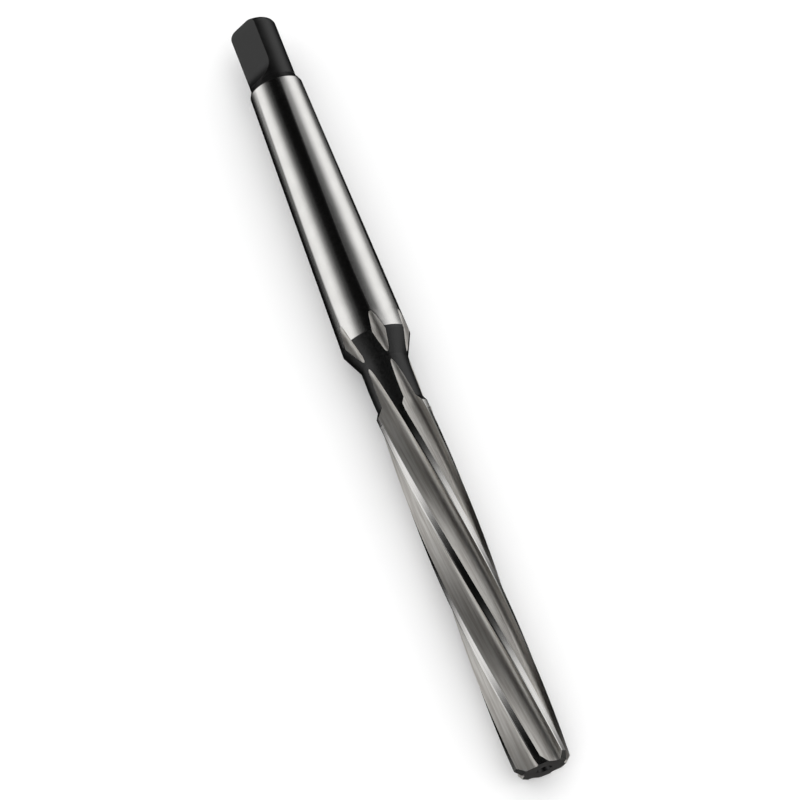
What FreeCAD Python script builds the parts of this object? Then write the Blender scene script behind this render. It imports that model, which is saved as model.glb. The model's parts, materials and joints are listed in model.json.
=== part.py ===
import FreeCAD, Part
import os
from math import acos, asin, atan2, cos, degrees, pi, radians, sin, sqrt, tan

from FreeCAD import Vector

# A machine reamer of high speed steel, 10 mm, with six left-hand spiral teeth and a No. 1
# taper shank with a tang. It is turned and ground from one bar, so it is a single solid.
#
# It is modelled standing on its nose: Z runs from the nose, up through the teeth, the neck
# and the shank, to the end of the tang. Angles turn about Z, and 0 is the side that ends up
# nearly on top. The finished tool is then laid on a flat surface the way it comes to rest.
# Millimetres and degrees throughout.

# Cutting part
REAMER_DIAMETER = 10.0
CUTTING_LENGTH = 66.5          # nose to the end of the ground diameter
TOOTH_COUNT = 6
HELIX_ANGLE = 9.0              # left-hand spiral, measured on the ground diameter
FIRST_EDGE_ANGLE = -9.6        # where the first cutting edge meets the nose
LEAD_CHAMFER = 1.0             # 45 degree lead at the nose
LEAD_RELIEF_ANGLE = 8.0        # each tooth's lead falls away behind its edge by this much
MARGIN_WIDTH = 0.22            # round land left behind each cutting edge
RELIEF_ANGLE = 9.0             # flat that falls away behind the margin
RELIEF_LENGTH = 65.0           # nose to where the relief grinding stops

# Flutes
FLUTE_FLOOR = 3.4              # distance from the axis to the flat floor of a flute
FLUTE_FILLET = 0.8             # corner between the floor and the cutting face
FLUTE_END = 64.5               # nose to where the grinding wheel starts to leave the steel
WHEEL_RADIUS = 120.0           # the wheel's exit arc runs on over the neck and the shoulder
WHEEL_TILT = 10.5              # the wheel is set a little steeper than the spiral

# Neck
NECK_DIAMETER = 8.54
NECK_CHAMFER_ANGLE = 30.0      # slope from the ground diameter down to the neck
SHOULDER_START = 76.0          # nose to where the neck opens into the shank

# Shank: a No. 1 self-holding taper, 1 in 20.047 on diameter
GAUGE_DIAMETER = 12.065
TAPER_ON_DIAMETER = 1 / 20.047
SHOULDER_TO_GAUGE = 3.5        # the taper runs on past its gauge plane by this much
SHANK_START = 80.0             # nose to the widest point of the tool
GAUGE_TO_TANG_END = 62.0

# Tang
TANG_LENGTH = 13.5
TANG_DIAMETER = 8.4
TANG_THICKNESS = 5.2
TANG_FLAT_LENGTH = 8.5
TANG_RUNOUT_RADIUS = 5.0
TANG_CORNER_RADIUS = 1.2
TANG_CHAMFER = 1.3             # length of the slope between the taper and the tang
TANG_FLAT_ANGLE = -40.0        # the way one of the two flats faces

# Centre holes, 60 degrees
CENTRE_ANGLE = 60.0
NOSE_CENTRE_DIAMETER = 2.7
NOSE_PILOT_DIAMETER = 1.25
NOSE_PILOT_DEPTH = 3.4
TANG_CENTRE_DIAMETER = 2.9
TANG_PILOT_DIAMETER = 1.6
TANG_PILOT_DEPTH = 3.6

OVERRUN = 1.0                  # how far a cutting solid runs past the steel it removes
MESH_TOLERANCE = 0.02          # how closely the resting points are looked for
SETTLING_TURNS = 6

# Worked out from the sizes above
BODY_RADIUS = REAMER_DIAMETER / 2
NECK_RADIUS = NECK_DIAMETER / 2
TANG_RADIUS = TANG_DIAMETER / 2
TOOTH_PITCH = 360 / TOOTH_COUNT
LEAD = pi * REAMER_DIAMETER / tan(radians(HELIX_ANGLE))
TWIST_PER_MM = 360 / LEAD
GAUGE_PLANE = SHANK_START + SHOULDER_TO_GAUGE
TANG_END = GAUGE_PLANE + GAUGE_TO_TANG_END
TANG_START = TANG_END - TANG_LENGTH
NECK_START = CUTTING_LENGTH + (BODY_RADIUS - NECK_RADIUS) / tan(radians(NECK_CHAMFER_ANGLE))


def taper_radius(z):
    """Radius of the taper shank at height z."""
    return (GAUGE_DIAMETER - (z - GAUGE_PLANE) * TAPER_ON_DIAMETER) / 2


SHOULDER_RADIUS = taper_radius(SHANK_START)
CUTTER_REACH = SHOULDER_RADIUS + OVERRUN


def polar(radius, angle, z=0.0):
    return Vector(radius * cos(radians(angle)), radius * sin(radians(angle)), z)


def turned(outline):
    """Solid of revolution about Z from (radius, z) points that start and end on the axis."""
    points = [Vector(radius, 0, z) for radius, z in outline]
    face = Part.Face(Part.makePolygon(points + points[:1]))
    return face.revolve(Vector(), Vector(0, 0, 1), 360)


def turned_blank():
    """The bar after turning: lead, ground diameter, neck, taper shank and tang."""
    return turned([
        (0, 0),
        (BODY_RADIUS - LEAD_CHAMFER, 0),
        (BODY_RADIUS, LEAD_CHAMFER),
        (BODY_RADIUS, CUTTING_LENGTH),
        (NECK_RADIUS, NECK_START),
        (NECK_RADIUS, SHOULDER_START),
        (SHOULDER_RADIUS, SHANK_START),
        (taper_radius(TANG_START), TANG_START),
        (TANG_RADIUS, TANG_START + TANG_CHAMFER),
        (TANG_RADIUS, TANG_END),
        (0, TANG_END),
    ])


def centre_hole(diameter, pilot_diameter, pilot_depth):
    """A 60 degree centre with its pilot, opening at the origin and going up along Z."""
    radius = diameter / 2
    pilot_radius = pilot_diameter / 2
    slope = tan(radians(CENTRE_ANGLE / 2))
    return turned([
        (0, -OVERRUN),
        (radius + OVERRUN * slope, -OVERRUN),
        (pilot_radius, (radius - pilot_radius) / slope),
        (pilot_radius, pilot_depth),
        (0, pilot_depth + pilot_radius * slope),
    ])


def flute_outline():
    """Closed outline of one flute across the axis, beside a cutting edge at angle 0.

    The cutting face is radial, the floor is square to it, and a fillet joins them. The
    floor runs back to the tooth behind, and the rest closes outside the steel.
    """
    fillet_centre = Vector(FLUTE_FLOOR + FLUTE_FILLET, -FLUTE_FILLET, 0)
    on_fillet = [fillet_centre + polar(FLUTE_FILLET, angle) for angle in (90, 112.5, 135, 157.5, 180)]
    floor_back = Vector(FLUTE_FLOOR, -CUTTER_REACH, 0)
    back_top = Vector(CUTTER_REACH, -CUTTER_REACH, 0)
    face_top = Vector(CUTTER_REACH, 0, 0)
    return Part.Wire([
        Part.LineSegment(face_top, on_fillet[0]).toShape(),
        Part.Arc(*on_fillet[:3]).toShape(),
        Part.Arc(*on_fillet[2:]).toShape(),
        Part.LineSegment(on_fillet[4], floor_back).toShape(),
        Part.LineSegment(floor_back, back_top).toShape(),
        Part.LineSegment(back_top, face_top).toShape(),
    ])


def relief_outline():
    """Closed outline of the wedge ground off behind the margin of the edge at angle 0."""
    margin_angle = degrees(MARGIN_WIDTH / BODY_RADIUS)
    margin_end = polar(BODY_RADIUS, margin_angle)
    along_relief = polar(1, margin_angle + 90 + RELIEF_ANGLE)
    outward = polar(1, margin_angle)
    width = BODY_RADIUS * radians(TOOTH_PITCH / 2)
    relief_back = margin_end + along_relief * width
    return Part.makePolygon([
        margin_end,
        relief_back,
        relief_back + outward * width,
        margin_end + outward * width,
        margin_end,
    ])


def lead_relief():
    """The flat ground off behind the lead of the tooth whose edge is at angle 0."""
    inner = polar(BODY_RADIUS - LEAD_CHAMFER, 0)
    outer = polar(BODY_RADIUS, -TWIST_PER_MM * LEAD_CHAMFER, LEAD_CHAMFER)
    along_edge = (outer - inner).normalize()
    square_back = along_edge.cross(Vector(1, 0, -1)).normalize()
    off_steel = square_back.cross(along_edge)
    lean = radians(LEAD_RELIEF_ANGLE)
    back = square_back * cos(lean) - off_steel * sin(lean)
    lifted = off_steel * cos(lean) + square_back * sin(lean)
    width = BODY_RADIUS * radians(TOOTH_PITCH / 2)
    start = inner - along_edge * OVERRUN
    finish = outer + along_edge * OVERRUN
    flat = Part.Face(Part.makePolygon(
        [start, finish, finish + back * width, start + back * width, start]))
    return flat.extrude(lifted * width)


def along_spiral(outline, z_end):
    """Sweep an outline, drawn for the nose plane, up the left-hand spiral to z_end."""
    spine = Part.makeHelix(LEAD, z_end + OVERRUN, BODY_RADIUS, 0, True)
    swept = Part.Wire(spine).makePipeShell([outline], True, True)
    swept.translate(Vector(0, 0, -OVERRUN))
    swept.rotate(Vector(), Vector(0, 0, 1), TWIST_PER_MM * OVERRUN)
    return swept


def wheel_exit(outline):
    """Carry a flute outline on from FLUTE_END along the arc of the grinding wheel.

    The wheel stands over the foot of the cutting face and is tilted, so the outline
    climbs outward and drifts sideways until it is clear of the shank.
    """
    climb = SHOULDER_RADIUS - FLUTE_FLOOR + OVERRUN
    turn = acos(1 - climb / WHEEL_RADIUS)
    lowest = degrees(atan2(-FLUTE_FILLET, FLUTE_FLOOR))
    outward = polar(1, lowest)
    forward = polar(sin(radians(WHEEL_TILT)), lowest - 90, cos(radians(WHEEL_TILT)))

    def on_arc(angle):
        return outward * (WHEEL_RADIUS * (1 - cos(angle))) + forward * (WHEEL_RADIUS * sin(angle))

    arc = Part.Arc(on_arc(0), on_arc(turn / 2), on_arc(turn)).toShape()
    sweep = Part.BRepOffsetAPI.MakePipeShell(Part.Wire(arc))
    sweep.setTrihedronMode(Vector(), Vector(0, 0, 1))
    sweep.add(outline)
    sweep.build()
    sweep.makeSolid()
    swept = sweep.shape()
    swept.rotate(Vector(), Vector(0, 0, 1), -TWIST_PER_MM * FLUTE_END)
    swept.translate(Vector(0, 0, FLUTE_END))
    return swept


def around(solid):
    """Copies of a cutting solid at every tooth, turned to the first cutting edge."""
    copies = []
    for tooth in range(TOOTH_COUNT):
        copy = solid.copy()
        copy.rotate(Vector(), Vector(0, 0, 1), FIRST_EDGE_ANGLE + tooth * TOOTH_PITCH)
        copies.append(copy)
    return copies


def tang_side():
    """What is milled off one side of the tang, for a flat that faces along X."""
    half = TANG_THICKNESS / 2
    flat_end = TANG_END - TANG_FLAT_LENGTH
    climb = TANG_RADIUS + OVERRUN - half
    runout = sqrt(TANG_RUNOUT_RADIUS ** 2 - (TANG_RUNOUT_RADIUS - climb) ** 2)
    turn = asin(runout / TANG_RUNOUT_RADIUS) / 2
    reach = 2 * TANG_RADIUS
    flat_foot = Vector(half, -reach, flat_end)
    arc_middle = Vector(half + TANG_RUNOUT_RADIUS * (1 - cos(turn)), -reach,
                        flat_end - TANG_RUNOUT_RADIUS * sin(turn))
    arc_top = Vector(half + climb, -reach, flat_end - runout)
    outer_top = Vector(half + climb, -reach, TANG_END + OVERRUN)
    flat_top = Vector(half, -reach, TANG_END + OVERRUN)
    outline = Part.Wire([
        Part.LineSegment(flat_top, flat_foot).toShape(),
        Part.Arc(flat_foot, arc_middle, arc_top).toShape(),
        Part.LineSegment(arc_top, outer_top).toShape(),
        Part.LineSegment(outer_top, flat_top).toShape(),
    ])
    return Part.Face(outline).extrude(Vector(0, 2 * reach, 0))


def tang_corner():
    """Ring that leaves the tang's end with rounded corners."""
    corner = TANG_CORNER_RADIUS
    bend = corner * (1 - cos(pi / 4))
    side_foot = Vector(TANG_RADIUS, 0, TANG_END - corner)
    arc_middle = Vector(TANG_RADIUS - bend, 0, TANG_END - bend)
    end_foot = Vector(TANG_RADIUS - corner, 0, TANG_END)
    end_top = Vector(TANG_RADIUS - corner, 0, TANG_END + OVERRUN)
    outer_top = Vector(TANG_RADIUS + OVERRUN, 0, TANG_END + OVERRUN)
    outer_foot = Vector(TANG_RADIUS + OVERRUN, 0, TANG_END - corner)
    outline = Part.Wire([
        Part.Arc(side_foot, arc_middle, end_foot).toShape(),
        Part.LineSegment(end_foot, end_top).toShape(),
        Part.LineSegment(end_top, outer_top).toShape(),
        Part.LineSegment(outer_top, outer_foot).toShape(),
        Part.LineSegment(outer_foot, side_foot).toShape(),
    ])
    return Part.Face(outline).revolve(Vector(), Vector(0, 0, 1), 360)


def make_reamer():
    """The finished tool, standing on its nose."""
    tool = turned_blank()
    flute = flute_outline()
    tool = tool.cut(around(along_spiral(flute, FLUTE_END)))
    tool = tool.cut(around(wheel_exit(flute)))
    tool = tool.cut(around(along_spiral(relief_outline(), RELIEF_LENGTH)))
    tool = tool.cut(around(lead_relief()))

    near_flat = tang_side()
    near_flat.rotate(Vector(), Vector(0, 0, 1), TANG_FLAT_ANGLE)
    far_flat = near_flat.copy()
    far_flat.rotate(Vector(), Vector(0, 0, 1), 180)
    tang_centre = centre_hole(TANG_CENTRE_DIAMETER, TANG_PILOT_DIAMETER, TANG_PILOT_DEPTH)
    tang_centre.rotate(Vector(), Vector(1, 0, 0), 180)
    tang_centre.translate(Vector(0, 0, TANG_END))
    nose_centre = centre_hole(NOSE_CENTRE_DIAMETER, NOSE_PILOT_DIAMETER, NOSE_PILOT_DEPTH)
    tool = tool.cut([near_flat, far_flat, tang_corner(), tang_centre, nose_centre])
    return tool.Solids[0]


def height(point):
    return point.z


def resting_turn(solid):
    """How the tool, lying with its nose towards +X, turns about its centre of mass to rest.

    It rests on three points: the two edges of one flute where it cuts the shoulder, and a
    land near the nose. The roll levels the first two, and the pitch brings the third down.
    """
    centre = solid.CenterOfMass
    surface = [point - centre for point in solid.tessellate(MESH_TOLERANCE)[0]]
    turn = FreeCAD.Rotation()
    for _ in range(SETTLING_TURNS):
        points = [turn.multVec(point) for point in surface]
        left = min((point for point in points if point.x < 0 < point.y), key=height)
        right = min((point for point in points if point.x < 0 and point.y < 0), key=height)
        roll = -degrees(atan2(left.z - right.z, left.y - right.y))
        turn = FreeCAD.Rotation(Vector(1, 0, 0), roll) * turn
        points = [turn.multVec(point) for point in surface]
        rear = min((point for point in points if point.x < 0), key=height)
        pitch = min(atan2(point.z - rear.z, point.x - rear.x) for point in points if point.x > 0)
        turn = FreeCAD.Rotation(Vector(0, 1, 0), degrees(pitch)) * turn
    return turn


def laid_down(standing):
    """Lay the tool on the XY plane as it comes to rest, with the middle of its box at 0, 0."""
    scoop_angle = FIRST_EDGE_ANGLE - TWIST_PER_MM * SHANK_START - degrees(FLUTE_FILLET / SHOULDER_RADIUS)
    laid = standing.copy()
    laid.rotate(Vector(), Vector(0, 0, 1), 180 - scoop_angle)
    laid.rotate(Vector(), Vector(0, 1, 0), -90)
    turn = resting_turn(laid)
    laid.rotate(laid.CenterOfMass, turn.Axis, degrees(turn.Angle))
    box = FreeCAD.BoundBox()
    for point in laid.tessellate(MESH_TOLERANCE)[0]:
        box.add(point)
    laid.translate(Vector(-box.Center.x, -box.Center.y, -box.ZMin))
    return laid


reamer = laid_down(make_reamer())
print("volume", round(reamer.Volume, 1), "mm3")
os.makedirs("parts", exist_ok=True)
reamer.exportStep("parts/reamer.step")
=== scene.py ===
import json
from math import acos, atan2, cos, hypot, pi, radians, sin, sqrt, tan

import bmesh
import bpy
from mathutils import Matrix, Vector


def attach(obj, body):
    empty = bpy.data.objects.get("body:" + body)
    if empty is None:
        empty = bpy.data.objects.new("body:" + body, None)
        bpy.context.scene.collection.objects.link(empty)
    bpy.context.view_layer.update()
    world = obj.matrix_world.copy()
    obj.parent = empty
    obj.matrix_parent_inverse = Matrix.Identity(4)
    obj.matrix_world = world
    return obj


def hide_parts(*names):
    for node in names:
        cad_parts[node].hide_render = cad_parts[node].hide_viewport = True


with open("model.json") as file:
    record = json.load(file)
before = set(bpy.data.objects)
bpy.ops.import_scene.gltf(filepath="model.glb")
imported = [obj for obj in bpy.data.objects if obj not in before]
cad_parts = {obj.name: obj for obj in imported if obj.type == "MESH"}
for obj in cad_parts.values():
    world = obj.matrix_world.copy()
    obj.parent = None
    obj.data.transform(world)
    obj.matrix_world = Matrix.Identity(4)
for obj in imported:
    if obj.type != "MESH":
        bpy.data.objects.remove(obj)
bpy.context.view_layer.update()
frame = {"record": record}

# A machine reamer lying on a pale table. The CAD solid is redrawn as a finer mesh from the
# same sizes, so that the ground and polished faces reflect cleanly, and each way that the
# steel was finished gets its own material.
#
# The mesh is worked out standing on its nose, in millimetres, with Z from the nose to the
# tang, and angle 0 on the side that ends up nearly on top. It is then laid where the CAD is.

MM = 0.001

# Cutting part
REAMER_DIAMETER = 10.0
CUTTING_LENGTH = 66.5
TOOTH_COUNT = 6
HELIX_ANGLE = 9.0
FIRST_EDGE_ANGLE = -9.6
LEAD_CHAMFER = 1.0
LEAD_RELIEF_ANGLE = 8.0
MARGIN_WIDTH = 0.22
RELIEF_ANGLE = 9.0
RELIEF_LENGTH = 65.0

# Flutes
FLUTE_FLOOR = 3.4
FLUTE_FILLET = 0.8
FLUTE_END = 64.5
WHEEL_RADIUS = 120.0
WHEEL_TILT = 10.5

# Neck
NECK_DIAMETER = 8.54
NECK_CHAMFER_ANGLE = 30.0
SHOULDER_START = 76.0

# Shank and tang
GAUGE_DIAMETER = 12.065
TAPER_ON_DIAMETER = 1 / 20.047
SHOULDER_TO_GAUGE = 3.5
SHANK_START = 80.0
POLISH_START = 80.6            # the shoulder's edge keeps its black finish up to here
GAUGE_TO_TANG_END = 62.0
TANG_LENGTH = 13.5
TANG_DIAMETER = 8.4
TANG_THICKNESS = 5.2
TANG_FLAT_LENGTH = 8.5
TANG_RUNOUT_RADIUS = 5.0
TANG_CORNER_RADIUS = 1.2
TANG_CHAMFER = 1.3
TANG_FLAT_ANGLE = -40.0

# Centre holes
CENTRE_ANGLE = 60.0
NOSE_CENTRE_DIAMETER = 2.7
NOSE_PILOT_DIAMETER = 1.25
NOSE_PILOT_DEPTH = 3.4
TANG_CENTRE_DIAMETER = 2.9
TANG_PILOT_DIAMETER = 1.6
TANG_PILOT_DEPTH = 3.6

# Table and camera
TABLE_REACH = 3.0
TABLE_GAP = 0.00002            # keeps the table just clear of the CAD's lowest points
LENS = 152.37
SENSOR_WIDTH = 36.0
NOSE_RIGHT, NOSE_DOWN, NOSE_AHEAD = 23.45, 60.02, 550.43
AXIS_LEAN = 21.04
AXIS_SLANT = 21.564

# Lamps: the height and the radiance of each step in a row, from the far one to the near one
LAMP_STEPS = ((2.40, 0.04), (1.50, 0.12), (1.06, 0.20), (0.80, 0.26), (0.56, 0.22), (0.32, 0.14))
LAMP_DISTANCE = 0.80
LAMP_GAP = 0.01
LAMP_WIDTH = 3.0
DAYLIGHT = 1.25

# Worked out from the sizes above
BODY_RADIUS = REAMER_DIAMETER / 2
NECK_RADIUS = NECK_DIAMETER / 2
TANG_RADIUS = TANG_DIAMETER / 2
TOOTH_PITCH = 2 * pi / TOOTH_COUNT
TWIST_PER_MM = tan(radians(HELIX_ANGLE)) / BODY_RADIUS
MARGIN_SPAN = MARGIN_WIDTH / BODY_RADIUS
GAUGE_PLANE = SHANK_START + SHOULDER_TO_GAUGE
TANG_END = GAUGE_PLANE + GAUGE_TO_TANG_END
TANG_START = TANG_END - TANG_LENGTH
NECK_START = CUTTING_LENGTH + (BODY_RADIUS - NECK_RADIUS) / tan(radians(NECK_CHAMFER_ANGLE))
FILLET_LENGTH = FLUTE_FILLET * pi / 2
LEAD_RELIEF_END = LEAD_CHAMFER * 1.15     # the relief runs out just past the lead

# How finely the mesh follows the steel: steps along each strip of the section
FLOOR_STEPS = 5
FILLET_STEPS = 8
WALL_STEPS = 3
MARGIN_STEPS = 2
RELIEF_STEPS = 6
LEAD_STEPS = 4
BLANK_STEPS = 6
FLAT_STEPS = 6
ROUND_STEPS = 26
CORNER_STEPS = 8

# The same along the tool: the greatest distance between sections in each stretch of it
LEAD_STEP = 0.1
LEAD_RUNOUT_STEP = 0.01
BODY_STEP = 0.6
TIP_SPACING = (0.0005, 0.004, 0.015, 0.04, 0.08, 0.14, 0.22)
SCOOP_REACH = 4.0              # how far into the polished shank the sections stay close
LONG_STEP = 4.0
TANG_STEP = 0.2
FLAT_STEP = 1.0
TIP_SEARCH_END = GAUGE_PLANE + 6
LAST_FLUTED_SECTION = 0.5      # how far before the tang the fluted sections stop

# Search limits, and what counts as one point or as a sharp edge
HALVINGS = 60
OUTLINE_REACH = 6.0
OUTSIDE_THE_BAR = 9.0
MERGE_DISTANCE = 0.0005
CREASE = radians(4)

# Strips round the section, bands along the tool, and finishes
FLOOR, FILLET, WALL, MARGIN, RELIEF, LEAD, BLANK, FLAT, ROUND = range(9)
(NOSE_HOLE, NOSE_FACE, BODY, NECK_SLOPE, NECK, SHOULDER, RIM, SHANK,
 TANG_SLOPE, TANG, TANG_CORNER, TANG_FACE, TANG_HOLE) = range(13)
OXIDE, SATIN, MILLED, GROUND, LAPPED, POLISHED, DULL = range(7)


def taper_radius(z):
    return (GAUGE_DIAMETER - (z - GAUGE_PLANE) * TAPER_ON_DIAMETER) / 2


TURNED_PROFILE = [
    (0.0, BODY_RADIUS - LEAD_CHAMFER),
    (LEAD_CHAMFER, BODY_RADIUS),
    (CUTTING_LENGTH, BODY_RADIUS),
    (NECK_START, NECK_RADIUS),
    (SHOULDER_START, NECK_RADIUS),
    (SHANK_START, taper_radius(SHANK_START)),
    (TANG_START, taper_radius(TANG_START)),
    (TANG_START + TANG_CHAMFER, TANG_RADIUS),
    (TANG_END, TANG_RADIUS),
]


def turned_radius(z):
    """Radius of the turned bar at height z."""
    for (z0, r0), (z1, r1) in zip(TURNED_PROFILE, TURNED_PROFILE[1:]):
        if z <= z1:
            return r0 + (r1 - r0) * (z - z0) / (z1 - z0)
    return TANG_RADIUS


def flute_place(z):
    """Turn and shift of the flute's outline at height z: (angle, along, across)."""
    angle = radians(FIRST_EDGE_ANGLE) - TWIST_PER_MM * min(z, FLUTE_END)
    past = max(z - FLUTE_END, 0) / cos(radians(WHEEL_TILT)) / WHEEL_RADIUS
    climb = WHEEL_RADIUS * (1 - sqrt(1 - past ** 2))
    drift = WHEEL_RADIUS * past * sin(radians(WHEEL_TILT))
    lowest = atan2(-FLUTE_FILLET, FLUTE_FLOOR)
    along = climb * cos(lowest) + drift * sin(lowest)
    across = climb * sin(lowest) - drift * cos(lowest)
    return angle, along, across


def flute_point(s, along, across):
    """The flute's outline: floor for s under 0, then the fillet, then the cutting face."""
    if s < 0:
        x, y = FLUTE_FLOOR, -FLUTE_FILLET + s
    elif s < FILLET_LENGTH:
        turn = s / FLUTE_FILLET
        x = FLUTE_FLOOR + FLUTE_FILLET * (1 - cos(turn))
        y = FLUTE_FILLET * (sin(turn) - 1)
    else:
        x, y = FLUTE_FLOOR + FLUTE_FILLET + s - FILLET_LENGTH, 0.0
    return x + along, y + across


def nearest_approach(along, across):
    """The place on the flute's outline that comes nearest to the axis."""
    low, high = -OUTLINE_REACH, OUTLINE_REACH
    for _ in range(HALVINGS):
        third = (high - low) / 3
        if (hypot(*flute_point(low + third, along, across))
                < hypot(*flute_point(high - third, along, across))):
            high -= third
        else:
            low += third
    return (low + high) / 2


def halve(low, high, is_low):
    """The place between two others up to which a test holds."""
    for _ in range(HALVINGS):
        middle = (low + high) / 2
        if is_low(middle):
            low = middle
        else:
            high = middle
    return (low + high) / 2


def flute_reach(z, radius):
    """Where the flute's outline enters and leaves the turned bar, or twice its nearest place."""
    _, along, across = flute_place(z)
    nearest = nearest_approach(along, across)

    def in_the_bar(place):
        return hypot(*flute_point(place, along, across)) < radius

    if not in_the_bar(nearest):
        return nearest, nearest
    return (halve(nearest, -OUTSIDE_THE_BAR, in_the_bar),
            halve(nearest, OUTSIDE_THE_BAR, in_the_bar))


def lead_plane():
    """Normal and distance of the relief behind the first tooth's lead."""
    inner = Vector((BODY_RADIUS - LEAD_CHAMFER, 0, 0))
    turn = -TWIST_PER_MM * LEAD_CHAMFER
    outer = Vector((BODY_RADIUS * cos(turn), BODY_RADIUS * sin(turn), LEAD_CHAMFER))
    along_edge = (outer - inner).normalized()
    square_back = along_edge.cross(Vector((1, 0, -1))).normalized()
    off_steel = square_back.cross(along_edge)
    lean = radians(LEAD_RELIEF_ANGLE)
    normal = off_steel * cos(lean) + square_back * sin(lean)
    return normal, normal.dot(inner)


LEAD_NORMAL, LEAD_DISTANCE = lead_plane()


def spread(start, end, steps):
    """The start and the places after it, at even steps, without the end."""
    return [start + (end - start) * step / steps for step in range(steps)]


def edge_angle(z):
    """Where the first cutting edge is at height z."""
    return radians(FIRST_EDGE_ANGLE) - TWIST_PER_MM * z


def land_radius(z, angle, relieved):
    """How far out one tooth's land is at an angle, and which strip of it that is."""
    behind = angle - edge_angle(z)
    radius = turned_radius(z)
    strip = MARGIN if behind <= MARGIN_SPAN else RELIEF
    if not relieved:
        return radius, strip
    if strip == RELIEF:
        lean = radians(RELIEF_ANGLE)
        radius = min(BODY_RADIUS * cos(lean) / cos(behind - MARGIN_SPAN - lean), turned_radius(z))
    if z > LEAD_RELIEF_END:
        return radius, strip
    across = hypot(LEAD_NORMAL.x, LEAD_NORMAL.y)
    faces = atan2(LEAD_NORMAL.y, LEAD_NORMAL.x) + TWIST_PER_MM * z
    lead = (LEAD_DISTANCE - LEAD_NORMAL.z * z) / across / cos(behind - faces)
    if z <= LEAD_CHAMFER:
        radius, strip = turned_radius(z), BLANK
    if lead < radius or (z <= LEAD_CHAMFER and behind <= MARGIN_SPAN):
        radius, strip = min(lead, radius), LEAD
    return radius, strip


def last_of_strip(z, strip, start, heel, relieved):
    """The angle where the land's outline passes from that strip to a later one."""
    def not_past(angle):
        return land_radius(z, angle, relieved)[1] <= strip

    if not_past(heel):
        return heel
    return halve(start, heel, not_past)


def relieved_heel(z):
    """The angle where a relieved land meets the floor of the next flute."""
    turn, along, _ = flute_place(z)

    def on_the_land(angle):
        radius = land_radius(z, angle, True)[0]
        return radius * cos(angle - turn - TOOTH_PITCH) - along < FLUTE_FLOOR

    return halve(edge_angle(z), edge_angle(z) + TOOTH_PITCH / 2, on_the_land)


def flute_points(z, back, face):
    """One flute in the section, from its back to the cutting edge, as (strip, angle, radius)."""
    turn, along, across = flute_place(z)
    points = []
    for strip, start, end, steps in (
        (FLOOR, min(back, 0), min(face, 0), FLOOR_STEPS),
        (FILLET, max(back, 0), min(face, FILLET_LENGTH), FILLET_STEPS),
        (WALL, max(back, FILLET_LENGTH), max(face, FILLET_LENGTH), WALL_STEPS),
    ):
        for place in spread(min(max(start, back), face), max(min(end, face), back), steps):
            x, y = flute_point(place, along, across)
            points.append((strip, turn + atan2(y, x), min(hypot(x, y), turned_radius(z))))
    return points


def land_points(z, edge, heel, relieved):
    """One land in the section, from its cutting edge to its heel, as (strip, angle, radius)."""
    if relieved:
        margin_end = last_of_strip(z, MARGIN, edge, heel, True)
    else:
        margin_end = min(edge + MARGIN_SPAN, heel)
    relief_end = last_of_strip(z, RELIEF, edge, heel, relieved)
    lead_end = last_of_strip(z, LEAD, edge, heel, relieved)
    points = []
    for strip, begin, end, steps in (
        (MARGIN, edge, margin_end, MARGIN_STEPS),
        (RELIEF, margin_end, relief_end, RELIEF_STEPS),
        (LEAD, relief_end, lead_end, LEAD_STEPS),
        (BLANK, lead_end, heel, BLANK_STEPS),
    ):
        for angle in spread(begin, end, steps):
            points.append((strip, angle, land_radius(z, angle, relieved)[0]))
    return points


def tooth_section(z, relieved):
    """The section of one flute and the land behind its cutting edge."""
    turn, along, across = flute_place(z)
    back, face = flute_reach(z, turned_radius(z))
    x, y = flute_point(face, along, across)
    edge = turn + atan2(y, x)
    if relieved:
        heel = relieved_heel(z)
        reach = land_radius(z, heel, True)[0]
        back = reach * sin(heel - turn - TOOTH_PITCH) - across + FLUTE_FILLET
    else:
        x, y = flute_point(back, along, across)
        heel = turn + TOOTH_PITCH + atan2(y, x)
    return flute_points(z, back, face) + land_points(z, edge, heel, relieved)


def fluted_ring(z, relieved=False):
    """The whole section at z: (strip, angle, radius, z) for every point."""
    tooth = tooth_section(z, relieved)
    return [(strip, angle + TOOTH_PITCH * number, radius, z)
            for number in range(TOOTH_COUNT) for strip, angle, radius in tooth]


def tang_half(z):
    """Half the thickness between the tang's two flats, with their run-out, at height z."""
    before = max(TANG_END - TANG_FLAT_LENGTH - z, 0)
    if before >= TANG_RUNOUT_RADIUS:
        return TANG_RADIUS * 2
    return TANG_THICKNESS / 2 + TANG_RUNOUT_RADIUS - sqrt(TANG_RUNOUT_RADIUS ** 2 - before ** 2)


def tang_radius(z):
    """Radius of the tang's round sides, with the rounded corner at its end."""
    into = z - (TANG_END - TANG_CORNER_RADIUS)
    if into <= 0:
        return turned_radius(z)
    return TANG_RADIUS - TANG_CORNER_RADIUS + sqrt(max(TANG_CORNER_RADIUS ** 2 - into ** 2, 0))


def tang_ring(z):
    """The tang's section at z: a flat, a round side, and the same again."""
    radius, half = tang_radius(z), tang_half(z)
    corner = acos(min(half / radius, 1))
    points = []
    for side in (0, pi):
        middle = radians(TANG_FLAT_ANGLE) + side
        for angle in spread(-corner, corner, FLAT_STEPS):
            points.append((FLAT, middle + angle, min(half / cos(angle), radius), z))
        for angle in spread(corner, pi - corner, ROUND_STEPS):
            points.append((ROUND, middle + angle, radius, z))
    return points


def same_angles(ring, radius, z):
    """A round ring with its points at the angles of another."""
    return [(strip, angle, radius, z) for strip, angle, _, _ in ring]


def even_heights(start, end, step):
    """Heights from start to end, both included, no more than a step apart."""
    count = max(int((end - start) / step + 0.999), 1)
    return [start + (end - start) * number / count for number in range(count + 1)]


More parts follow.
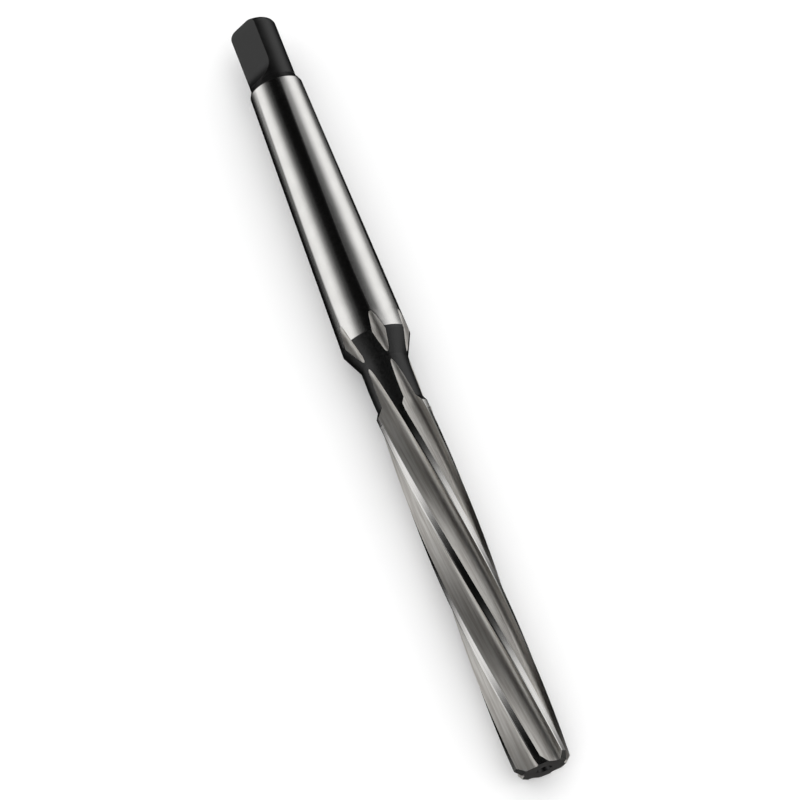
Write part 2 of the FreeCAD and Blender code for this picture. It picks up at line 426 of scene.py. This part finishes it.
def flute_tips():
    """Heights where a flute ends or begins again, with -1 or 1 for the side that it is on."""
    def is_cut(z):
        back, face = flute_reach(z, turned_radius(z))
        return back < face

    tips = []
    heights = even_heights(CUTTING_LENGTH, TIP_SEARCH_END, LEAD_STEP)
    cut = [is_cut(z) for z in heights]
    for low, high, before, after in zip(heights, heights[1:], cut, cut[1:]):
        if before != after:
            tip = halve(low, high, lambda z: is_cut(z) == before)
            tips.append((tip, -1 if before else 1))
    return tips


def hole_rings(ring, diameter, pilot_diameter, pilot_depth, face, inward):
    """Rings of a centre hole, from its mouth on the end face to the bottom of its pilot."""
    slope = tan(radians(CENTRE_ANGLE / 2))
    radius, pilot = diameter / 2, pilot_diameter / 2
    return [
        same_angles(ring, radius, face),
        same_angles(ring, (radius + pilot) / 2, face + inward * (radius - pilot) / 2 / slope),
        same_angles(ring, pilot, face + inward * (radius - pilot) / slope),
        same_angles(ring, pilot, face + inward * pilot_depth),
        same_angles(ring, 0, face + inward * (pilot_depth + pilot * slope)),
    ]


class Skin:
    """The tool's mesh in the making, with the strip and the band that each face is in."""

    def __init__(self):
        self.bm = bmesh.new()
        self.standing = self.bm.verts.layers.float_vector.new("standing")
        self.band = self.bm.faces.layers.int.new("band")
        self.strip = self.bm.faces.layers.int.new("strip")

    def add_ring(self, ring):
        """The ring's vertices, each with its strip and its angle."""
        made = []
        for strip, angle, radius, z in ring:
            vertex = self.bm.verts.new((radius * cos(angle), radius * sin(angle), z))
            vertex[self.standing] = vertex.co
            made.append((vertex, strip, angle))
        return made

    def add_face(self, corners, strip, band):
        face = self.bm.faces.new(corners)
        face[self.strip] = strip
        face[self.band] = band

    def join(self, lower, upper, band):
        """A band of faces between two rings that have the same number of points."""
        for index, (vertex, strip, _) in enumerate(lower):
            after = (index + 1) % len(lower)
            corners = (vertex, lower[after][0], upper[after][0], upper[index][0])
            self.add_face(corners, strip, band)

    def zip(self, lower, upper, band):
        """A band of triangles between two rings whose points are at different angles."""
        low, high = by_angle(lower), by_angle(upper)
        i = j = 0
        while i < len(low) - 1 or j < len(high) - 1:
            if j == len(high) - 1 or (i < len(low) - 1 and low[i + 1][0] <= high[j + 1][0]):
                corners = (low[i][1], low[i + 1][1], high[j][1])
                i += 1
            else:
                corners = (low[i][1], high[j + 1][1], high[j][1])
                j += 1
            self.add_face(corners, RELIEF, band)

    def stack(self, sections):
        """Adds a stack of sections and joins each to the next. Returns the rings it added."""
        rings = [(band, self.add_ring(ring)) for band, ring in sections]
        for (band, lower), (_, upper) in zip(rings, rings[1:]):
            self.join(lower, upper, band)
        return [ring for _, ring in rings]

    def close(self):
        """Makes one point of those that fall together, and turns every face outward."""
        bmesh.ops.remove_doubles(self.bm, verts=self.bm.verts, dist=MERGE_DISTANCE)
        bmesh.ops.dissolve_degenerate(self.bm, edges=self.bm.edges, dist=MERGE_DISTANCE)
        bmesh.ops.recalc_face_normals(self.bm, faces=self.bm.faces)

    def mark_finishes(self):
        for face in self.bm.faces:
            face.smooth = True
            face.material_index = finish_of(face[self.strip], face[self.band])

    def mark_creases(self):
        """Sharpens the edges that part two strips or two bands at an angle."""
        for edge in self.bm.edges:
            if len(edge.link_faces) != 2:
                continue
            one, other = edge.link_faces
            same_strip = one[self.strip] == other[self.strip]
            same_band = one[self.band] == other[self.band]
            if not (same_strip and same_band) and edge.calc_face_angle() > CREASE:
                edge.smooth = False

    def finished(self, name):
        mesh = bpy.data.meshes.new(name)
        self.bm.to_mesh(mesh)
        self.bm.free()
        return mesh


def by_angle(ring):
    """A ring's vertices as (angle, vertex) once round, with the first one again at the end."""
    found = {}
    for vertex, _, angle in ring:
        found.setdefault(round(angle % (2 * pi), 5), vertex)
    order = sorted(found.items())
    return order + [(order[0][0] + 2 * pi, order[0][1])]


def body_sections():
    """Every section from the nose's centre hole to the end of the relieved lands."""
    nose = fluted_ring(0, True)
    mouth, *deeper = hole_rings(nose, NOSE_CENTRE_DIAMETER, NOSE_PILOT_DIAMETER,
                                NOSE_PILOT_DEPTH, 0, 1)
    sections = [(NOSE_HOLE, ring) for ring in reversed(deeper)]
    sections.append((NOSE_FACE, mouth))
    heights = even_heights(0, LEAD_CHAMFER, LEAD_STEP)
    heights += even_heights(LEAD_CHAMFER, LEAD_RELIEF_END, LEAD_RUNOUT_STEP)[1:]
    heights += even_heights(LEAD_RELIEF_END, RELIEF_LENGTH, BODY_STEP)[1:]
    return sections + [(BODY, fluted_ring(z, True)) for z in heights]


def neck_and_shank_sections():
    """Every section from there to the small end of the shank, closer together at flute tips."""
    shank_end = TANG_START - LAST_FLUTED_SECTION
    stretches = (
        (BODY, RELIEF_LENGTH, CUTTING_LENGTH, 0.3),
        (NECK_SLOPE, CUTTING_LENGTH, NECK_START, 0.2),
        (NECK, NECK_START, SHOULDER_START, 0.3),
        (SHOULDER, SHOULDER_START, SHANK_START, 0.25),
        (RIM, SHANK_START, POLISH_START, 0.3),
        (SHANK, POLISH_START, POLISH_START + SCOOP_REACH, 0.3),
        (SHANK, POLISH_START + SCOOP_REACH, shank_end, LONG_STEP),
    )
    tips = flute_tips()
    sections = []
    for band, start, end, step in stretches:
        heights = even_heights(start, end, step)[:-1]
        for tip, way in tips:
            near = [tip + way * away for away in TIP_SPACING]
            heights += [z for z in near if start < z < end]
        sections += [(band, fluted_ring(z)) for z in sorted(heights)]
    return sections + [(SHANK, fluted_ring(shank_end))]


def tang_sections():
    """Every section from the tang's start to the bottom of its centre hole."""
    slope_end = TANG_START + TANG_CHAMFER
    flat_start = TANG_END - TANG_FLAT_LENGTH
    corner_start = TANG_END - TANG_CORNER_RADIUS
    heights = [(TANG_SLOPE, z) for z in even_heights(TANG_START, slope_end, LEAD_STEP)[:-1]]
    heights += [(TANG, z) for z in even_heights(slope_end, flat_start, TANG_STEP)[:-1]]
    heights += [(TANG, z) for z in even_heights(flat_start, corner_start, FLAT_STEP)[:-1]]
    for turn in spread(0, pi / 2, CORNER_STEPS):
        heights.append((TANG_CORNER, corner_start + TANG_CORNER_RADIUS * sin(turn)))
    end = tang_ring(TANG_END)
    hole = hole_rings(end, TANG_CENTRE_DIAMETER, TANG_PILOT_DIAMETER, TANG_PILOT_DEPTH,
                      TANG_END, -1)
    sections = [(band, tang_ring(z)) for band, z in heights]
    sections.append((TANG_FACE, end))
    return sections + [(TANG_HOLE, ring) for ring in hole]


def finish_of(strip, band):
    """Which finish a face has."""
    if band == NOSE_FACE:
        return DULL
    if band in (NOSE_HOLE, TANG_HOLE):
        return OXIDE
    if band in (TANG_SLOPE, TANG, TANG_CORNER, TANG_FACE):
        return MILLED if strip == FLAT and band == TANG else SATIN
    if strip in (FLOOR, FILLET, WALL):
        return GROUND
    if band == BODY:
        return LAPPED
    if band == SHANK:
        return POLISHED
    return OXIDE


def tool_placement():
    """Where the standing tool lies: from its nose centre, its axis and the way a tang flat faces."""
    mounts = {mount["name"]: mount for mount in frame["record"]["mounts"]}
    nose = Vector(mounts["nose_centre"]["pos_m"])
    up = -Vector(mounts["nose_centre"]["axis"])
    flat = Vector(mounts["tang_flat_near"]["axis"])
    first = Matrix.Rotation(-radians(TANG_FLAT_ANGLE), 3, up) @ flat
    first = (first - up * first.dot(up)).normalized()
    second = up.cross(first)
    turn = Matrix((first, second, up)).transposed().to_4x4()
    return Matrix.Translation(nose) @ turn


def reamer_mesh():
    """The tool as one closed mesh, standing, with its creases and finishes marked."""
    skin = Skin()
    fluted = skin.stack(body_sections() + neck_and_shank_sections())
    tang = skin.stack(tang_sections())
    skin.zip(fluted[-1], tang[0], SHANK)
    skin.close()
    skin.mark_finishes()
    skin.mark_creases()
    return skin.finished("reamer_ground")


def mark_grain(mesh, place):
    """Stores, for the laid mesh, the way round the tool, which lies across the grinding lines."""
    grain = mesh.attributes.new("grain", "FLOAT_VECTOR", "POINT")
    around = place.to_3x3()
    for point, mark in zip(mesh.attributes["standing"].data, grain.data):
        x, y, _ = point.vector
        mark.vector = around @ Vector((-y, x, 0)).normalized()


# The part of a noise's range that it fills most of the time
NOISE_LOW, NOISE_HIGH = 0.35, 0.65


class Finish:
    """A metal finish whose colour, roughness and relief come from nodes."""

    def __init__(self, name, metallic):
        self.material = bpy.data.materials.new(name)
        self.material.use_nodes = True
        self.tree = self.material.node_tree
        self.shader = self.tree.nodes["Principled BSDF"]
        self.shader.inputs["Metallic"].default_value = metallic
        where = self.tree.nodes.new("ShaderNodeAttribute")
        where.attribute_name = "standing"
        self.standing = where.outputs["Vector"]

    def link(self, output, socket):
        self.tree.links.new(output, socket)

    def along_helix(self, stretch):
        """Coordinates that follow the spiral and are drawn out along it."""
        height = self.tree.nodes.new("ShaderNodeSeparateXYZ")
        self.link(self.standing, height.inputs[0])
        twist = self.tree.nodes.new("ShaderNodeMath")
        twist.operation = "MULTIPLY"
        twist.inputs[1].default_value = TWIST_PER_MM
        self.link(height.outputs["Z"], twist.inputs[0])
        turn = self.tree.nodes.new("ShaderNodeVectorRotate")
        turn.rotation_type = "Z_AXIS"
        self.link(self.standing, turn.inputs["Vector"])
        self.link(twist.outputs[0], turn.inputs["Angle"])
        return self.stretched(turn.outputs["Vector"], (1, 1, stretch))

    def stretched(self, vector, amounts):
        scale = self.tree.nodes.new("ShaderNodeVectorMath")
        scale.operation = "MULTIPLY"
        scale.inputs[1].default_value = amounts
        self.link(vector, scale.inputs[0])
        return scale.outputs["Vector"]

    def noise(self, vector, scale, detail=3.0):
        noise = self.tree.nodes.new("ShaderNodeTexNoise")
        noise.inputs["Scale"].default_value = scale
        noise.inputs["Detail"].default_value = detail
        self.link(vector, noise.inputs["Vector"])
        return noise.outputs["Fac"]

    def ramp(self, value, low, high):
        """Passes a noise on as a number between low and high."""
        ramp = self.tree.nodes.new("ShaderNodeMapRange")
        ramp.inputs["From Min"].default_value = NOISE_LOW
        ramp.inputs["From Max"].default_value = NOISE_HIGH
        ramp.inputs["To Min"].default_value = low
        ramp.inputs["To Max"].default_value = high
        self.link(value, ramp.inputs["Value"])
        return ramp.outputs["Result"]

    def blend(self, value, low, high):
        """A colour between two, led by a noise."""
        mix = self.tree.nodes.new("ShaderNodeMix")
        mix.data_type = "RGBA"
        mix.inputs["A"].default_value = (*low, 1)
        mix.inputs["B"].default_value = (*high, 1)
        self.link(self.ramp(value, 0, 1), mix.inputs["Factor"])
        return mix.outputs["Result"]

    def relief(self, value, depth):
        """Raises the surface where the noise is high, by up to a depth in millimetres."""
        bump = self.tree.nodes.new("ShaderNodeBump")
        bump.inputs["Strength"].default_value = 1.0
        bump.inputs["Distance"].default_value = depth * MM
        self.link(value, bump.inputs["Height"])
        self.link(bump.outputs["Normal"], self.shader.inputs["Normal"])

    def brushed(self, amount):
        """Spreads the gloss across the grinding lines, whose direction the mesh holds."""
        grain = self.tree.nodes.new("ShaderNodeAttribute")
        grain.attribute_name = "grain"
        self.shader.inputs["Anisotropic"].default_value = amount
        self.link(grain.outputs["Vector"], self.shader.inputs["Tangent"])

    def paint(self, color, roughness):
        self.link(color, self.shader.inputs["Base Color"])
        self.link(roughness, self.shader.inputs["Roughness"])
        return self.material


def polished():
    """The shank, ground round and round between centres and then polished."""
    finish = Finish("polished_shank", 1.0)
    rings = finish.noise(finish.stretched(finish.standing, (0.15, 0.15, 1)), 9.0, 6.0)
    cloud = finish.noise(finish.standing, 0.25)
    color = finish.blend(cloud, (0.80, 0.79, 0.77), (0.86, 0.85, 0.83))
    finish.relief(rings, 0.0004)
    return finish.paint(color, finish.ramp(rings, 0.19, 0.24))


def ground(name, dark, light, smooth, rough, depth, spread_out):
    """Steel ground along the spiral, with fine lines that follow it."""
    finish = Finish(name, 1.0)
    finish.brushed(spread_out)
    lines = finish.noise(finish.along_helix(0.02), 14.0, 6.0)
    streaks = finish.noise(finish.along_helix(0.04), 2.2)
    finish.relief(lines, depth)
    return finish.paint(finish.blend(streaks, dark, light), finish.ramp(lines, smooth, rough))


def oxide(name, dark, light, smooth, rough, grain, depth):
    """Black oxide over turned or milled steel, slightly mottled."""
    finish = Finish(name, 0.0)
    mottle = finish.noise(finish.standing, grain, 5.0)
    turned = finish.noise(finish.stretched(finish.standing, (0.3, 0.3, 1)), 3.0, 4.0)
    finish.relief(turned, depth)
    return finish.paint(finish.blend(mottle, dark, light), finish.ramp(mottle, smooth, rough))


def finishes():
    """A material for each finish, in the order of their numbers."""
    return (
        oxide("black_oxide", (0.001, 0.001, 0.001), (0.008, 0.008, 0.008), 0.28, 0.40, 3.5, 0.008),
        oxide("black_satin", (0.003, 0.003, 0.003), (0.005, 0.005, 0.005), 0.33, 0.38, 0.5, 0.001),
        oxide("milled_black", (0.003, 0.003, 0.003), (0.006, 0.006, 0.006), 0.36, 0.42, 0.6, 0.004),
        ground("ground_flutes", (0.66, 0.63, 0.59), (0.94, 0.92, 0.88), 0.38, 0.50, 0.003, 0.85),
        ground("lapped_lands", (0.66, 0.65, 0.63), (0.78, 0.77, 0.75), 0.16, 0.24, 0.0008, 0.4),
        polished(),
        oxide("dull_grey", (0.030, 0.029, 0.028), (0.055, 0.053, 0.050), 0.45, 0.60, 1.5, 0.004),
    )


def plain(name, shade, roughness):
    """An even grey or white, for the table."""
    material = bpy.data.materials.new(name)
    material.use_nodes = True
    shader = material.node_tree.nodes["Principled BSDF"]
    shader.inputs["Base Color"].default_value = (shade, shade, shade, 1)
    shader.inputs["Roughness"].default_value = roughness
    return material


def add_reamer(place):
    """The finished tool, laid where the CAD is, in the CAD node's stead."""
    mesh = reamer_mesh()
    mesh.transform(place @ Matrix.Scale(MM, 4))
    mark_grain(mesh, place)
    for material in finishes():
        mesh.materials.append(material)
    tool = bpy.data.objects.new("reamer_ground", mesh)
    bpy.context.scene.collection.objects.link(tool)
    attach(tool, "root")
    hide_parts("reamer")


def camera_pose(place):
    """The photographer's place. The nose's place and the axis's lean and slant are as they are
    in the camera's picture, and the tool's own place then tells where the camera is."""
    lean, slant = radians(AXIS_LEAN), radians(AXIS_SLANT)
    to_nose = Vector((sin(slant) * cos(lean), cos(slant) * cos(lean), -sin(lean)))
    near = Vector((-sin(slant) * sin(lean), -cos(slant) * sin(lean), -cos(lean)))
    side = near.cross(to_nose)
    seen = Matrix((side, near, -to_nose))
    turn = place.to_3x3()
    laid = Matrix((turn.col[1], turn.col[0], turn.col[2])).transposed()
    to_world = laid @ seen
    nose = Vector((NOSE_RIGHT, NOSE_DOWN, NOSE_AHEAD)) * MM
    flip = Matrix(((1, 0, 0), (0, -1, 0), (0, 0, -1)))
    return Matrix.Translation(place.translation - to_world @ nose) @ (to_world @ flip).to_4x4()


def add_camera(place):
    data = bpy.data.cameras.new("camera")
    data.lens = LENS
    data.sensor_width = SENSOR_WIDTH
    data.clip_start = 0.01
    data.clip_end = 20
    camera = bpy.data.objects.new("camera", data)
    bpy.context.scene.collection.objects.link(camera)
    camera.matrix_world = camera_pose(place)
    bpy.context.scene.camera = camera


def add_table():
    """A pale table that the polished steel doesn't mirror, as in the photographer's studio."""
    reach = TABLE_REACH
    corners = [(-reach, -reach, 0), (reach, -reach, 0), (reach, reach, 0), (-reach, reach, 0)]
    mesh = bpy.data.meshes.new("table")
    mesh.from_pydata(corners, [], [(0, 1, 2, 3)])
    mesh.materials.append(plain("table_white", 0.93, 0.7))
    table = bpy.data.objects.new("table", mesh)
    table.location.z = -TABLE_GAP
    table.visible_glossy = False
    bpy.context.scene.collection.objects.link(table)


def softbox(name, azimuth, elevation, distance, width, height, radiance):
    """A flat lamp that faces the tool and shines equally over its whole surface."""
    data = bpy.data.lights.new(name, "AREA")
    data.shape = "RECTANGLE"
    data.size = width
    data.size_y = height
    data.energy = radiance * pi * width * height
    lamp = bpy.data.objects.new(name, data)
    bpy.context.scene.collection.objects.link(lamp)
    around, up = radians(azimuth), radians(elevation)
    away = Vector((cos(around) * cos(up), sin(around) * cos(up), sin(up)))
    lamp.location = away * distance
    lamp.rotation_mode = "QUATERNION"
    lamp.rotation_quaternion = away.to_track_quat("Z", "Y")
    return lamp


def add_lamps():
    """Two long rows of lamps beside the tool. In each row the lamps are smaller towards the tool
    and their light adds up, so that the reflection of the row fades at its edges."""
    for side, azimuth, elevation in (("left", -90, 3), ("right", 90, 21)):
        for number, (height, radiance) in enumerate(LAMP_STEPS):
            distance = LAMP_DISTANCE - LAMP_GAP * number
            lamp = softbox(f"{side}_{number}", azimuth, elevation, distance, LAMP_WIDTH,
                           height, radiance)
            lamp.visible_diffuse = False


def add_daylight():
    """Even white light from all round, which the steel doesn't mirror."""
    world = bpy.data.worlds.new("studio")
    world.use_nodes = True
    background = world.node_tree.nodes["Background"]
    background.inputs["Color"].default_value = (1.0, 1.0, 1.0, 1)
    background.inputs["Strength"].default_value = DAYLIGHT
    world.cycles_visibility.glossy = False
    bpy.context.scene.world = world


placement = tool_placement()
add_reamer(placement)
add_camera(placement)
add_table()
add_lamps()
add_daylight()
bpy.context.scene.view_settings.view_transform = "Standard"
